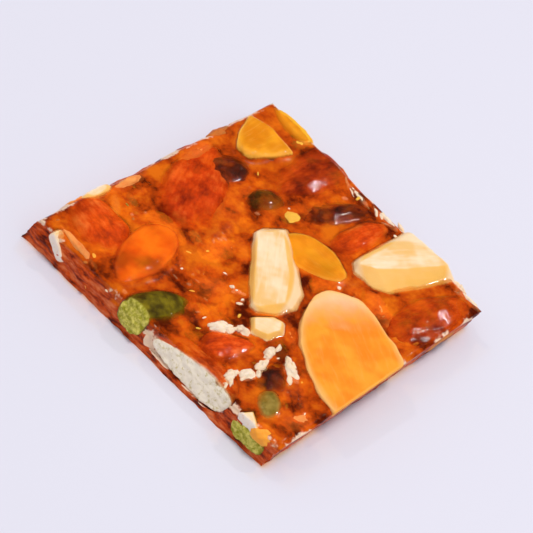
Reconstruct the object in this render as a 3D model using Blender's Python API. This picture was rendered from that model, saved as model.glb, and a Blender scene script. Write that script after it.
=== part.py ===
# Dried fruit brittle: one hand-cut square of nuts and raisins set in amber caramel.
# It lies on its flat underside. X runs along the front edge, Y towards the back, Z up.
# The square, its outline and every nut are given in millimetres.

import math

import bmesh
import bpy
from mathutils import Matrix, Vector, noise

MM = 0.001

# The square: four hand-cut corners, front left first and then anticlockwise.
CORNERS = ((-20.7, -19.6), (21.8, -19.0), (19.7, 19.4), (-19.6, 20.5))
THICKNESS = 4.4
LEAN = Vector((-0.3, -0.1))  # the knife's slant: how far the sides shift for each mm down
TOP_CELLS = 22  # cells of the top surface along each edge
SIDE_ROWS = (0.82, 0.3, 0.0)  # heights of the rings down the side, as parts of the thickness
EDGE_ROUND = 0.35  # how far the top edge is drawn in
SIDE_ROUGHNESS, SIDE_LUMPS, SIDE_STRETCH = 0.35, 7, 0.8  # depth, and fineness along and down
WAVE_HEIGHT, WAVE_LENGTH, WAVE_SEED = 0.3, 6.0, 3.7  # slow waves of the poured top
MENISCUS_HEIGHT, MENISCUS_REACH = 0.4, 2.2  # the caramel's climb round each nut

GAP = 0.3  # between a nut and whatever it presses into
FLUSH = 0.1  # how far a knife-cut nut stands out of the side
TAPER_POWER = 1.6  # the higher, the nearer its tip a nut narrows
WRINKLE_FINENESS = 2.3
CREASE_ANGLE = 40  # an edge that is sharper than this, in degrees, shows as a crease
RIM = 0.999  # grid positions beyond this one are on the slab's rim
TINY = 1e-6  # a length below this is none

# How each kind of piece is formed. sides and rings: facets. taper: narrowing towards the
# tip. box: 1 for a round section, towards 0 for flat faces. wrinkle: part of the thickness.
FORMS = {
    "almond": {"sides": 14, "rings": 7, "taper": 0.42, "box": 0.72, "wrinkle": 0.04},
    "flake": {"sides": 18, "rings": 5, "taper": 0.34, "box": 0.25, "wrinkle": 0.05},
    "pistachio": {"sides": 12, "rings": 7, "taper": 0.12, "box": 0.75, "wrinkle": 0.06},
    "raisin": {"sides": 12, "rings": 7, "taper": 0.1, "box": 0.85, "wrinkle": 0.15},
}

# A shard is broken, with flat faces: the hull of its peak, of its foot at the caramel's
# level, where it is widest, and of a keel below, a smaller copy of the foot.
FOOT_LEVEL = -0.25  # from the slab's top
KEEL_PART = 0.8  # of the foot's size

COLOURS = {
    "caramel": ((0.42, 0.10, 0.015), 0.15),
    "almond_skin": ((0.52, 0.12, 0.02), 0.35),
    "almond_flesh": ((0.86, 0.62, 0.32), 0.4),
    "pistachio": ((0.22, 0.27, 0.02), 0.4),
    "raisin": ((0.07, 0.01, 0.01), 0.4),
}

# Each nut: centre, size as length, width and thickness, heading of its tip in degrees from
# +X, height of its top above the slab's, and tilt (tip up, left side up). A cut is a plane:
# its direction from the tip, its distance from the centre at the top, and its upward lean.
# A shard's peak and foot are points of the square, a peak's with its height above the top.
# A face is a cut that the knife made at the side, so the caramel beyond it is gone too.
# A nut with its own taper narrows by that, and not by its form's. thin: how far the
# thickness narrows too.
# A nut earlier in the list lies over the later ones.
NUTS = (
    {"name": "sliver_middle", "form": "shard", "slot": "almond_flesh", "at": (1.2, -0.6),
     "size": (15.8, 6.4, 3.2), "heading": -48, "top": 0.95, "tilt": (0, 0),
     "peak": ((-4.5, 2.5, 0.6), (-2.9, 5.6, 0.7), (-1.4, 4.3, 0.95), (3.0, 0.7, 0.95), (5.8, -2.8, 0.8),
              (4.4, -6.0, 0.65), (3.7, -6.2, 0.65), (-0.9, -1.3, 0.75)),
     "foot": ((-4.9, 2.4), (-4.9, 4.2), (-3.0, 6.8), (-0.6, 5.6), (3.6, 2.6), (5.9, 1.0), (7.3, -1.6),
              (6.6, -4.5), (4.8, -6.6), (3.5, -6.7), (-1.4, -1.7))},
    {"name": "flake_right", "form": "flake", "slot": "almond_flesh", "at": (17.2, -1.8),
     "size": (22.0, 12.6, 1.5), "heading": 154, "top": 0.65, "tilt": (3, 0), "taper": 0.0},
    {"name": "chip_middle", "form": "shard", "slot": "almond_flesh", "at": (6.9, -7.0),
     "size": (5.0, 4.4, 2.4), "heading": 20, "top": 0.65, "tilt": (0, 0),
     "peak": ((5.4, -7.6, 0.55), (6.7, -5.6, 0.65), (7.8, -5.1, 0.6), (8.6, -6.1, 0.5), (8.2, -8.0, 0.55),
              (6.6, -8.8, 0.5)),
     "foot": ((4.8, -7.6), (6.3, -4.9), (7.9, -4.4), (9.2, -5.8), (8.7, -8.5), (6.6, -9.4))},
    {"name": "wedge_back", "form": "shard", "slot": "almond_flesh", "at": (9.8, 14.6),
     "size": (12.4, 9.6, 3.8), "heading": 60, "top": 1.15, "tilt": (0, 0),
     "peak": ((6.3, 9.9, 0.95), (7.9, 11.1, 1.1), (10.2, 14.8, 1.15), (12.5, 19.6, 1.1), (12.4, 21.0, 1.1),
              (5.7, 10.6, 0.7), (5.6, 14.0, 0.55), (5.9, 19.0, 0.55), (6.2, 21.0, 0.6)),
     "foot": ((5.2, 9.8), (5.0, 14.2), (5.2, 21.2), (14.8, 21.2), (14.6, 19.4), (13.2, 15.0), (11.6, 10.6),
              (9.6, 9.3), (6.6, 8.7))},
    {"name": "flake_gold", "form": "flake", "slot": "almond_flesh", "at": (-15.2, 17.6),
     "size": (15.4, 9.4, 1.4), "heading": -92, "top": 0.6, "tilt": (3, 2),
     "cuts": ((174, -1.2, 0), (-166, -1.0, 0))},
    {"name": "chip_corner", "form": "shard", "slot": "almond_flesh", "at": (16.2, -18.9),
     "size": (3.6, 2.8, 1.8), "heading": -20, "top": 0.35, "tilt": (0, 0),
     "peak": ((15.0, -19.4, 0.25), (15.8, -17.9, 0.35), (17.3, -18.8, 0.3), (17.2, -20.4, 0.2),
              (15.2, -20.4, 0.2)),
     "foot": ((14.4, -19.8), (15.6, -17.4), (17.9, -18.7), (17.8, -20.6), (14.8, -20.6))},
    {"name": "flake_front", "form": "flake", "slot": "almond_flesh", "at": (-9.4, -12.1),
     "size": (12.0, 6.8, 1.4), "heading": -76, "top": 0.2, "tilt": (0, 4)},
    {"name": "pistachio_front", "form": "pistachio", "slot": "pistachio", "at": (-2.8, -16.6),
     "size": (9.4, 5.2, 4.6), "heading": 68, "top": 0.7, "tilt": (-3, 0),
     "faces": ((202, 2.2, 18),)},
    {"name": "almond_cut_front", "form": "almond", "slot": "almond_flesh", "at": (6.5, -18.4),
     "size": (13.4, 6.6, 4.2), "heading": 181, "top": 0.3, "tilt": (-1, 0), "thin": 0.5,
     "faces": ((91, 0.0, 15),)},
    {"name": "flake_middle", "form": "flake", "slot": "almond_flesh", "at": (2.3, 6.2),
     "size": (9.6, 6.2, 1.4), "heading": 12, "top": 0.3, "tilt": (0, 3)},
    {"name": "raisin_left", "form": "raisin", "slot": "raisin", "at": (-14.2, 7.2),
     "size": (5.8, 4.6, 3.0), "heading": 55, "top": 0.2, "tilt": (0, 0)},
    {"name": "pistachio_left", "form": "pistachio", "slot": "pistachio", "at": (-7.9, 7.5),
     "size": (5.0, 3.8, 2.8), "heading": 60, "top": 0.2, "tilt": (0, 0)},
    {"name": "almond_left", "form": "almond", "slot": "almond_skin", "at": (-14.4, 1.7),
     "size": (15.5, 9.8, 3.6), "heading": 118, "top": 0.2, "tilt": (0, 0)},
    {"name": "almond_back", "form": "almond", "slot": "almond_skin", "at": (-7.9, 16.4),
     "size": (13.8, 8.2, 3.4), "heading": -94, "top": 0.2, "tilt": (0, 0)},
    {"name": "almond_edge_back", "form": "almond", "slot": "almond_flesh", "at": (-15.2, 19.8),
     "size": (7.5, 3.6, 2.6), "heading": 178, "top": 0.3, "tilt": (0, 0)},
    {"name": "raisin_back", "form": "raisin", "slot": "raisin", "at": (-1.5, 14.1),
     "size": (8.8, 4.0, 3.0), "heading": 68, "top": 0.2, "tilt": (0, 0)},
    {"name": "almond_middle", "form": "almond", "slot": "almond_skin", "at": (2.9, 14.0),
     "size": (9.6, 4.8, 3.0), "heading": 88, "top": 0.2, "tilt": (0, 0)},
    {"name": "almond_right", "form": "almond", "slot": "almond_skin", "at": (16.9, 12.2),
     "size": (13.2, 7.0, 3.2), "heading": 87, "top": 0.2, "tilt": (0, 0)},
    {"name": "almond_edge_left", "form": "almond", "slot": "almond_flesh", "at": (-20.2, -10.2),
     "size": (5.0, 3.2, 3.0), "heading": 82, "top": 0.45, "tilt": (0, 0)},
    {"name": "almond_front_left", "form": "almond", "slot": "almond_skin", "at": (-16.8, -13.4),
     "size": (11.0, 7.8, 3.2), "heading": 172, "top": 0.2, "tilt": (0, 0)},
    {"name": "almond_front", "form": "almond", "slot": "almond_skin", "at": (6.4, -12.9),
     "size": (7.4, 5.0, 3.0), "heading": 60, "top": 0.3, "tilt": (0, 0)},
    {"name": "sliver_front", "form": "flake", "slot": "almond_flesh", "at": (-16.7, -19.1),
     "size": (4.0, 3.0, 1.3), "heading": 0, "top": -1.1, "tilt": (-41, 0)},
    {"name": "pistachio_corner", "form": "pistachio", "slot": "pistachio", "at": (17.0, -18.0),
     "size": (6.4, 4.8, 3.0), "heading": 0, "top": -0.95, "tilt": (0, 0)},
    {"name": "raisin_front", "form": "raisin", "slot": "raisin", "at": (13.3, -12.2),
     "size": (5.0, 3.9, 2.4), "heading": 112, "top": 0.25, "tilt": (0, 0)},
    {"name": "pistachio_bit", "form": "pistachio", "slot": "pistachio", "at": (15.8, -15.2),
     "size": (4.6, 3.2, 2.4), "heading": -45, "top": 0.3, "tilt": (0, 0)},
)

# Chips too small to stand alone, fused to the caramel: centre, size, heading, and height of
# the top above the slab's.
CHIPS = (
    ((13.8, -9.2), (3.4, 1.9, 1.8), -22, 0.75),
    ((10.1, -9.4), (2.6, 1.3, 1.6), -65, 0.6),
    ((11.2, -14.2), (2.6, 1.8, 1.6), 70, 0.6),
    ((10.2, -16.4), (3.0, 1.2, 1.6), -62, 0.55),
    ((3.8, -11.8), (3.4, 2.2, 1.8), 50, 0.55),
    ((-4.2, 8.5), (2.8, 2.2, 1.8), 62, 0.5),
    ((17.2, 18.9), (4.0, 1.0, 1.6), 2, 0.5),
    ((-14.9, -18.3), (7.5, 1.5, 1.8), -4, 0.5),
)


def remove_everything():
    for old in list(bpy.data.objects):
        bpy.data.objects.remove(old, do_unlink=True)


def new_collection(name):
    made = bpy.data.collections.new(name)
    bpy.context.scene.collection.children.link(made)
    return made


def new_material(name):
    colour, roughness = COLOURS[name]
    material = bpy.data.materials.new(name)
    material.use_nodes = True
    shader = material.node_tree.nodes["Principled BSDF"]
    shader.inputs["Base Color"].default_value = (*colour, 1.0)
    shader.inputs["Roughness"].default_value = roughness
    material.diffuse_color = (*colour, 1.0)
    return material


def add_object(name, bm, collection, parent, material=None):
    """Makes an object, in metres, of a body shaped in millimetres."""
    bmesh.ops.recalc_face_normals(bm, faces=bm.faces)
    if bm.calc_volume(signed=True) < 0:
        bmesh.ops.reverse_faces(bm, faces=bm.faces)
    bm.transform(Matrix.Scale(MM, 4))
    mesh = bpy.data.meshes.new(name)
    bm.to_mesh(mesh)
    bm.free()
    made = bpy.data.objects.new(name, mesh)
    collection.objects.link(made)
    made.parent = parent
    if material:
        mesh.materials.append(material)
        mesh.shade_smooth()
        mesh.set_sharp_from_angle(angle=math.radians(CREASE_ANGLE))
    return made


def heading_vector(degrees):
    return Vector((math.cos(math.radians(degrees)), math.sin(math.radians(degrees)), 0.0))


def cut_away(bm, point, normal):
    """Cuts the body along a plane, drops what is beyond it, and closes the cut."""
    geometry = bm.verts[:] + bm.edges[:] + bm.faces[:]
    cut = bmesh.ops.bisect_plane(
        bm, geom=geometry, dist=TINY, plane_co=point, plane_no=normal, clear_outer=True
    )
    rim = [item for item in cut["geom_cut"] if isinstance(item, bmesh.types.BMEdge)]
    if rim:
        bmesh.ops.edgeloop_fill(bm, edges=rim)


def side_planes():
    """A point on each side of the square with that side's outward direction."""
    down = Vector((*LEAN, -1.0))
    for start, end in zip(CORNERS, CORNERS[1:] + CORNERS[:1]):
        along = Vector((end[0] - start[0], end[1] - start[1], 0.0))
        yield Vector((*start, THICKNESS)), down.cross(along).normalized()


def placement(nut):
    """Where the nut's own frame stands: tip along X, thickness along Z."""
    pitch, roll = nut["tilt"]
    middle = THICKNESS + nut["top"] - nut["size"][2] / 2
    return (
        Matrix.Translation((*nut["at"], middle))
        @ Matrix.Rotation(math.radians(nut["heading"]), 4, "Z")
        @ Matrix.Rotation(math.radians(-pitch), 4, "Y")
        @ Matrix.Rotation(math.radians(roll), 4, "X")
    )


def shard_body(nut, grow):
    """A broken piece in its own frame, with each face moved out by grow."""
    back = placement(nut).inverted()
    middle = Vector((*nut["at"], 0.0))
    keel = THICKNESS + nut["top"] - nut["size"][2]
    bm = bmesh.new()
    for x, y, rise in nut["peak"]:
        bm.verts.new(back @ Vector((x, y, THICKNESS + rise)))
    for foot in nut["foot"]:
        inward = middle.lerp(Vector((*foot, 0.0)), KEEL_PART)
        bm.verts.new(back @ Vector((*foot, THICKNESS + FOOT_LEVEL)))
        bm.verts.new(back @ Vector((*inward.xy, keel)))
    bmesh.ops.convex_hull(bm, input=bm.verts)
    bmesh.ops.delete(bm, geom=[vert for vert in bm.verts if not vert.link_faces], context="VERTS")
    bmesh.ops.recalc_face_normals(bm, faces=bm.faces)
    bm.normal_update()
    for vert in bm.verts:
        vert.co += vert.normal * grow / min(vert.normal.dot(face.normal) for face in vert.link_faces)
    return bm


def nut_body(nut, cuts, grow=0.0):
    """The nut in its own frame, with these cuts, larger by grow on every side."""
    if nut["form"] == "shard":
        return shard_body(nut, grow)
    form = FORMS[nut["form"]]
    taper = nut.get("taper", form["taper"])
    half = [size / 2 + grow for size in nut["size"]]
    seed = Vector((*nut["at"], 0.0))
    bm = bmesh.new()
    bmesh.ops.create_uvsphere(bm, u_segments=form["sides"], v_segments=form["rings"], radius=1.0)
    for vert in bm.verts:
        ball = vert.co.copy()
        flat = math.hypot(ball.x, ball.y)
        if flat > TINY:
            ball.x *= flat ** (form["box"] - 1)
            ball.y *= flat ** (form["box"] - 1)
        ball.z = math.copysign(abs(ball.z) ** form["box"], ball.z)
        towards_tip = ((ball.x + 1) / 2) ** TAPER_POWER
        ball.y *= 1 - taper * towards_tip
        ball.z *= 1 - nut.get("thin", 0.0) * towards_tip
        bump = 1 + form["wrinkle"] * noise.noise(vert.co * WRINKLE_FINENESS + seed)
        vert.co = (half[0] * ball.x * bump, half[1] * ball.y * bump, half[2] * ball.z)
    for angle, distance, lean in cuts:
        across = heading_vector(angle)
        lift = math.radians(lean)
        normal = across * math.cos(lift) + Vector((0.0, 0.0, math.sin(lift)))
        top = Vector((0.0, 0.0, half[2] - grow))
        cut_away(bm, across * distance + top + normal * grow, normal)
    return bm


def add_nut(nut, collection, parent, material):
    bm = nut_body(nut, nut.get("cuts", ()) + nut.get("faces", ()))
    bm.transform(placement(nut))
    for point, away in side_planes():
        cut_away(bm, point + away * FLUSH, away)
    return add_object(nut["name"], bm, collection, parent, material)


def add_pocket(nut, collection, parent):
    bm = nut_body(nut, nut.get("cuts", ()), GAP)
    bm.transform(placement(nut))
    cutter = add_object("pocket_" + nut["name"], bm, collection, parent)
    cutter.hide_render = True
    cutter.display_type = "WIRE"
    return cutter


def meniscus(x, y):
    """The caramel's extra height near the nuts."""
    rise = 0.0
    for nut in NUTS:
        away = Vector((x - nut["at"][0], y - nut["at"][1], 0.0))
        along = away.dot(heading_vector(nut["heading"])) / (nut["size"][0] / 2)
        across = away.dot(heading_vector(nut["heading"] + 90)) / (nut["size"][1] / 2)
        outside = max(0.0, math.hypot(along, across) - 1) * nut["size"][1] / 2
        rise = max(rise, math.exp(-((outside / MENISCUS_REACH) ** 2)))
    return MENISCUS_HEIGHT * (rise - 1)


def top_height(x, y):
    wave = noise.noise(Vector((x / WAVE_LENGTH, y / WAVE_LENGTH, WAVE_SEED)))
    return THICKNESS + WAVE_HEIGHT * wave + meniscus(x, y)


def outline_point(u, v):
    """A point of the square from its two grid positions, each from -1 to 1."""
    front_left, front_right, back_right, back_left = (Vector(corner) for corner in CORNERS)
    front = front_left.lerp(front_right, (u + 1) / 2)
    back = back_left.lerp(back_right, (u + 1) / 2)
    return front.lerp(back, (v + 1) / 2)


def outward(u, v):
    """The direction out of the square on its rim, and none inside."""
    rim = Vector((math.copysign(1, u) * (abs(u) > RIM), math.copysign(1, v) * (abs(v) > RIM)))
    return rim.normalized() if rim.length else rim


def slab_point(u, v, row):
    """Maps a grid position to the slab: row 0 is the top, the later ones run down the side."""
    flat = outline_point(u, v)
    out = outward(u, v)
    if row == 0:
        flat -= out * EDGE_ROUND
        return (*flat, top_height(*flat) - EDGE_ROUND * out.length)
    height = THICKNESS * SIDE_ROWS[row - 1]
    lumps = Vector((u * SIDE_LUMPS, v * SIDE_LUMPS, height * SIDE_STRETCH))
    rough = noise.noise(lumps) * SIDE_ROUGHNESS
    return (*(flat + out * rough + LEAN * (THICKNESS - height)), height)


def add_slab(collection, parent, material):
    bm = bmesh.new()
    bmesh.ops.create_grid(bm, x_segments=TOP_CELLS, y_segments=TOP_CELLS, size=1.0)
    rim = [edge for edge in bm.edges if edge.is_boundary]
    for row in range(1, len(SIDE_ROWS) + 1):
        extruded = bmesh.ops.extrude_edge_only(bm, edges=rim)["geom"]
        rim = [item for item in extruded if isinstance(item, bmesh.types.BMEdge)]
        for vert in {vert for edge in rim for vert in edge.verts}:
            vert.co.z = row
    bmesh.ops.edgeloop_fill(bm, edges=rim)
    for vert in bm.verts:
        vert.co = slab_point(vert.co.x, vert.co.y, round(vert.co.z))
    return add_object("caramel", bm, collection, parent, material)


def add_chip(index, collection, parent):
    at, size, heading, top = CHIPS[index]
    bm = bmesh.new()
    bmesh.ops.create_icosphere(bm, subdivisions=1, radius=0.5)
    bm.transform(Matrix.Diagonal((*size, 1.0)))
    turn = Matrix.Rotation(math.radians(heading), 4, "Z")
    bm.transform(Matrix.Translation((*at, THICKNESS + top - size[2] / 2)) @ turn)
    return add_object(f"chip_{index}", bm, collection, parent)


def add_boolean(target, operation, operand):
    boolean = target.modifiers.new(operation.lower(), "BOOLEAN")
    boolean.operation = operation
    boolean.solver = "EXACT"
    if isinstance(operand, bpy.types.Collection):
        boolean.operand_type = "COLLECTION"
        boolean.collection = operand
    else:
        boolean.object = operand


def body_of(start):
    """Every face that is joined to this one across a plain edge."""
    found, waiting = {start}, [start]
    while waiting:
        for edge in waiting.pop().edges:
            if len(edge.link_faces) == 2:
                new = set(edge.link_faces) - found
                found |= new
                waiting.extend(new)
    return found


def apply_booleans(target):
    """Makes the cut shape the object's own mesh, without the loose scraps of the cuts."""
    evaluated = target.evaluated_get(bpy.context.evaluated_depsgraph_get())
    shape = bpy.data.meshes.new_from_object(evaluated)
    bm = bmesh.new()
    bm.from_mesh(shape)
    left, main = set(bm.faces), set()
    while left:
        body = body_of(next(iter(left)))
        left -= body
        main = max(main, body, key=len)
    bmesh.ops.delete(bm, geom=[face for face in bm.faces if face not in main], context="FACES")
    bm.to_mesh(shape)
    bm.free()
    target.modifiers.clear()
    target.data = shape


def reaches(one, other):
    """Whether two objects' boxes meet."""
    ends = []
    for thing in (one, other):
        corners = [Vector(corner) for corner in thing.bound_box]
        ends.append([(min(c[axis] for c in corners), max(c[axis] for c in corners)) for axis in range(3)])
    return all(a[0] < b[1] and b[0] < a[1] for a, b in zip(*ends))


def centre(root):
    """Puts the origin under the middle of the square."""
    top = [Vector(corner) for corner in CORNERS]
    rim = top + [corner + LEAN * THICKNESS for corner in top]
    for axis in range(2):
        root.location[axis] = -(min(p[axis] for p in rim) + max(p[axis] for p in rim)) / 2 * MM


def main():
    remove_everything()
    brittle = new_collection("dried_fruit_brittle")
    cutters = new_collection("cutters")
    cutters.hide_render = True
    chips = new_collection("chips")
    materials = {name: new_material(name) for name in COLOURS}
    root = bpy.data.objects.new("brittle_origin", None)
    brittle.objects.link(root)

    slab = add_slab(brittle, root, materials["caramel"])
    for index in range(len(CHIPS)):
        add_chip(index, chips, root)
    add_boolean(slab, "UNION", chips)
    apply_booleans(slab)
    for chip in list(chips.objects):
        bpy.data.objects.remove(chip)
    bpy.data.collections.remove(chips)

    nuts, pockets = [], []
    for nut in NUTS:
        made = add_nut(nut, brittle, root, materials[nut["slot"]])
        for pocket in pockets:
            if reaches(made, pocket):
                add_boolean(made, "DIFFERENCE", pocket)
        nuts.append(made)
        pockets.append(add_pocket(nut, cutters, root))
    add_boolean(slab, "DIFFERENCE", cutters)
    for piece in [slab, *nuts]:
        apply_booleans(piece)
    centre(root)


main()
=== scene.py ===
import math

import bmesh
import bpy
import numpy as np
from mathutils import Matrix, Vector, noise
from mathutils.bvhtree import BVHTree


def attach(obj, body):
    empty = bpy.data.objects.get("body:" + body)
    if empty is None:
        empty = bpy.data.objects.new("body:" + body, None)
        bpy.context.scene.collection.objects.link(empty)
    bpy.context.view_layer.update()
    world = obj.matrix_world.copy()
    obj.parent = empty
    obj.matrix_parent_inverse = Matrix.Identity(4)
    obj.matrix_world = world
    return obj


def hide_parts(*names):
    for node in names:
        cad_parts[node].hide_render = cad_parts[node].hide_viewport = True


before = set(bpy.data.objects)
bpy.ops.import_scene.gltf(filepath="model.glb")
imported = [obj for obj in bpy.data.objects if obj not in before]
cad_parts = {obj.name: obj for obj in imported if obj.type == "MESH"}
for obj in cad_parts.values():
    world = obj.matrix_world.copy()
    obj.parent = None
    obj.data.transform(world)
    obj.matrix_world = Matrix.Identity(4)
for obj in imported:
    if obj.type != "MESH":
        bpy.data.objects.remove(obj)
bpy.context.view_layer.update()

mm = 0.001  # shapes are worked out in millimetres and scaled at the end
up = Vector((0.0, 0.0, 1.0))
overhead = 20.0  # well above every piece, where rays that look down start

print("brittle: frame loaded,", len(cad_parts), "nodes")


# colours and shader maths

def colour(code):  # "#D4511A" as linear colour
    parts = [int(code[i:i + 2], 16) / 255 for i in (1, 3, 5)]
    return (*(p / 12.92 if p < 0.04045 else ((p + 0.055) / 1.055) ** 2.4 for p in parts), 1.0)


class Value:  # an output socket that can be used in sums
    def __init__(self, finish, socket):
        self.finish, self.socket = finish, socket

    def maths(self, operation, first, second):
        return self.finish.node("ShaderNodeMath", {"operation": operation}, {0: first, 1: second})

    def __add__(self, other):
        return self.maths("ADD", self, other)

    def __sub__(self, other):
        return self.maths("SUBTRACT", self, other)

    def __rsub__(self, other):
        return self.maths("SUBTRACT", other, self)

    def __mul__(self, other):
        return self.maths("MULTIPLY", self, other)

    __radd__ = __add__
    __rmul__ = __mul__


class Finish:  # a material, or the world, and the nodes that make it
    def __init__(self, owner):
        self.owner = owner
        owner.use_nodes = True
        self.tree = owner.node_tree
        self.tree.nodes.clear()

    def node(self, kind, settings=None, sockets=None, out=0):
        made = self.tree.nodes.new(kind)
        for key, value in (settings or {}).items():
            if key == "stops":
                stops = made.color_ramp.elements
                while len(stops) < len(value):
                    stops.new(0.5)
                for stop, (position, shade) in zip(stops, value):
                    stop.position, stop.color = position, shade
            else:
                setattr(made, key, value)
        for key, value in (sockets or {}).items():
            if isinstance(value, Value):
                self.tree.links.new(value.socket, made.inputs[key])
            else:
                made.inputs[key].default_value = value
        return Value(self, made.outputs[out]) if made.outputs else None

    def mix(self, factor, first, second):  # of two colours
        settings = {"data_type": "RGBA", "clamp_factor": True}
        return self.node("ShaderNodeMix", settings, {0: factor, 6: first, 7: second}, out=2)

    def painted(self, name, out="Fac"):  # a value that the mesh holds at each vertex
        return self.node("ShaderNodeAttribute", {"attribute_name": name}, out=out)

    def scaled(self, vector, scale):
        settings = {"operation": "MULTIPLY"}
        return self.node("ShaderNodeVectorMath", settings, {0: vector, 1: scale})

    def grain(self, vector, scale, detail=3.0, roughness=0.55):
        sockets = {"Vector": vector, "Scale": scale, "Detail": detail, "Roughness": roughness}
        return self.node("ShaderNodeTexNoise", {}, sockets)

    def band(self, value, low, high):  # 0 below low, 1 above high, smooth between
        sockets = {"Value": value, "From Min": low, "From Max": high}
        return self.node("ShaderNodeMapRange", {"interpolation_type": "SMOOTHSTEP"}, sockets)

    def ramp(self, value, places, shades):
        stops = [(place, colour(shade)) for place, shade in zip(places, shades)]
        return self.node("ShaderNodeValToRGB", {"stops": stops}, {"Fac": value})

    def bump(self, height, strength, depth):
        sockets = {"Height": height, "Strength": strength, "Distance": depth * mm}
        return self.node("ShaderNodeBump", {}, sockets)

    def shader(self, shade, roughness, specular, **others):
        sockets = {"Base Color": shade, "Roughness": roughness, "Specular IOR Level": specular}
        return self.node("ShaderNodeBsdfPrincipled", {}, {**sockets, **others})

    def close(self, surface, **others):
        self.node("ShaderNodeOutputMaterial", {}, {"Surface": surface, **others})
        return self.owner


# the slab's form

slabSettings = {
    "corners": ((-20.7, -19.6), (21.8, -19.0), (19.7, 19.4), (-19.6, 20.5)),
    "span": 41.0,  # about as long as a side, for distances over the grid
    "thickness": 4.4,
    "lean": (-0.3, -0.1),  # the knife's slant, sideways for each mm down
    "topCells": 230, "sideRows": 24,
    "edgeRound": 0.45,
    "waves": ((0.28, 6.0, 3.7), (0.14, 2.4, 8.1), (0.06, 0.9, 5.3)),  # height, length and seed
    "rough": ((0.26, 3.0), (0.2, 1.1), (0.1, 0.45)),  # depth and length of the ragged sides
    "roughInset": 0.12,  # keeps them mostly inside the outline
    "knife": (0.5, 0.5, 1.4),  # stretches the marks along the sides
    "ridges": ((0.2, 0.5, 0.2), (0.16, 1.3, 0.18), (0.12, 2.1, 0.16)),  # height, distance from a side, width
    "ridgeWander": ((0.3, 5.0, 2.9),),  # how far they wander, with length and seed
    "ridgeBreaks": ((3.0, 9.0, 6.4),),  # how sharply they come and go, with length and seed
    "menisc": 0.4, "meniscReach": 2.2,  # how much lower it lies away from the nuts
    "climb": 0.35, "bareTop": 0.15,  # up the bare nuts, and how much of them it leaves bare at least
    "leastGlaze": 0.4,  # share of a glaze that stays over a glazed nut's highest points
    "faceGap": 0.35,  # how far the knife went under a cut face
    "soften": 0.5434,  # how far the poured film rounds over what lies under it
    "veilDepth": 0.5, "sideVeil": 1.3,  # how soon the caramel hides what lies in it
    "bloom": 1.1,  # how far in from a cut the sugar shows white bruises, which also carry a painted highlight that stands in for the glints along the edges
    "bloomAndGlintDown": 5.0,  # and how quickly they end down the sides
    "bloomAndGlintPatches": ((2.2, 2.6, 4.2), (1.0, 0.7, 6.1)), "bloomAndGlintMore": 0.6,
}


def outlinePoint(u, v):  # grid position, each from -1 to 1, to a point of the square
    frontLeft, frontRight, backRight, backLeft = (np.array(c) for c in slabSettings["corners"])
    s, t = (u[..., None] + 1) / 2, (v[..., None] + 1) / 2
    return (frontLeft * (1 - s) + frontRight * s) * (1 - t) + (backLeft * (1 - s) + backRight * s) * t


def sidePlanes():  # a point on each side with its outward direction
    corners = slabSettings["corners"]
    down = Vector((*slabSettings["lean"], -1.0))
    for start, end in zip(corners, corners[1:] + corners[:1]):
        along = Vector((end[0] - start[0], end[1] - start[1], 0.0))
        yield Vector((*start, slabSettings["thickness"])), down.cross(along).normalized()


def centre():  # the shift that brings the middle of the slab to the origin
    corners, lean = np.array(slabSettings["corners"]), np.array(slabSettings["lean"])
    both = np.vstack([corners, corners + lean * slabSettings["thickness"]])
    return -(both.min(axis=0) + both.max(axis=0)) / 2


def noiseOver(points, length, seed=0.0, stretch=(1, 1, 1)):
    offset = Vector((seed, seed * 1.7, seed * 2.3))
    scale = np.array(stretch) / length
    return np.array([noise.noise(Vector(p) + offset) for p in points * scale])


def layered(points, layers, seed=0.0):  # each layer has its height, length and seed
    return sum(height * noiseOver(points, length, seed + own) for height, length, own in layers)


# the nuts: one row each, the same as the solids, an earlier one over a later one, bare without a glaze

# grooves have depth, length and how they stretch along the nut
nutForms = {
    "almond": {"taper": 0.42, "box": 0.72, "wrinkle": 0.04, "lumps": 0.3, "fracture": 0.13,
               "grooves": (0.06, 0.8, 0.12), "fine": ((0.02, 0.4, 0.0),)},
    "flake": {"taper": 0.34, "box": 0.25, "wrinkle": 0.05, "lumps": 0.3, "fracture": 0.06,
              "grooves": (0.02, 1.4, 0.5)},
    "pistachio": {"taper": 0.12, "box": 0.75, "wrinkle": 0.06, "lumps": 0.25, "fracture": 0.3,
                  "grooves": (0.04, 1.4, 0.5)},
    "raisin": {"taper": 0.1, "box": 0.85, "wrinkle": 0.22, "lumps": 0.15, "fracture": 0.1,
               "grooves": (0.3, 1.5, 0.7), "fine": ((0.08, 0.6, 0.0),), "folded": True},
    # broken: the hull of a peak, a foot and a keel
    "shard": {"taper": 0.0, "lumps": 0.16, "fracture": 0.06, "grooves": (0.03, 1.4, 0.5)},
}

nutSettings = {
    "sides": 56, "rings": 29, "voxel": 0.15, "wear": (0.5, 5),  # strength and rounds of smoothing
    "flush": 0.1,  # how far a cut nut stands out of the side
    "taperPower": 1.6, "wrinkleScale": 2.3,
    "lumps": ((1.0, 3.2, 3), (0.35, 1.2, 7)),
    "broken": ((1.0, 1.1, 5), (0.6, 0.45, 9)),
    "cutFade": 0.3,  # how far from a cut its broken grain reaches
    "slopeFrom": 0.985, "slopeFade": 0.05,
    "footLevel": -0.25, "keel": 0.8,  # where a shard is widest, and how much of that is left below
}

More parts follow.
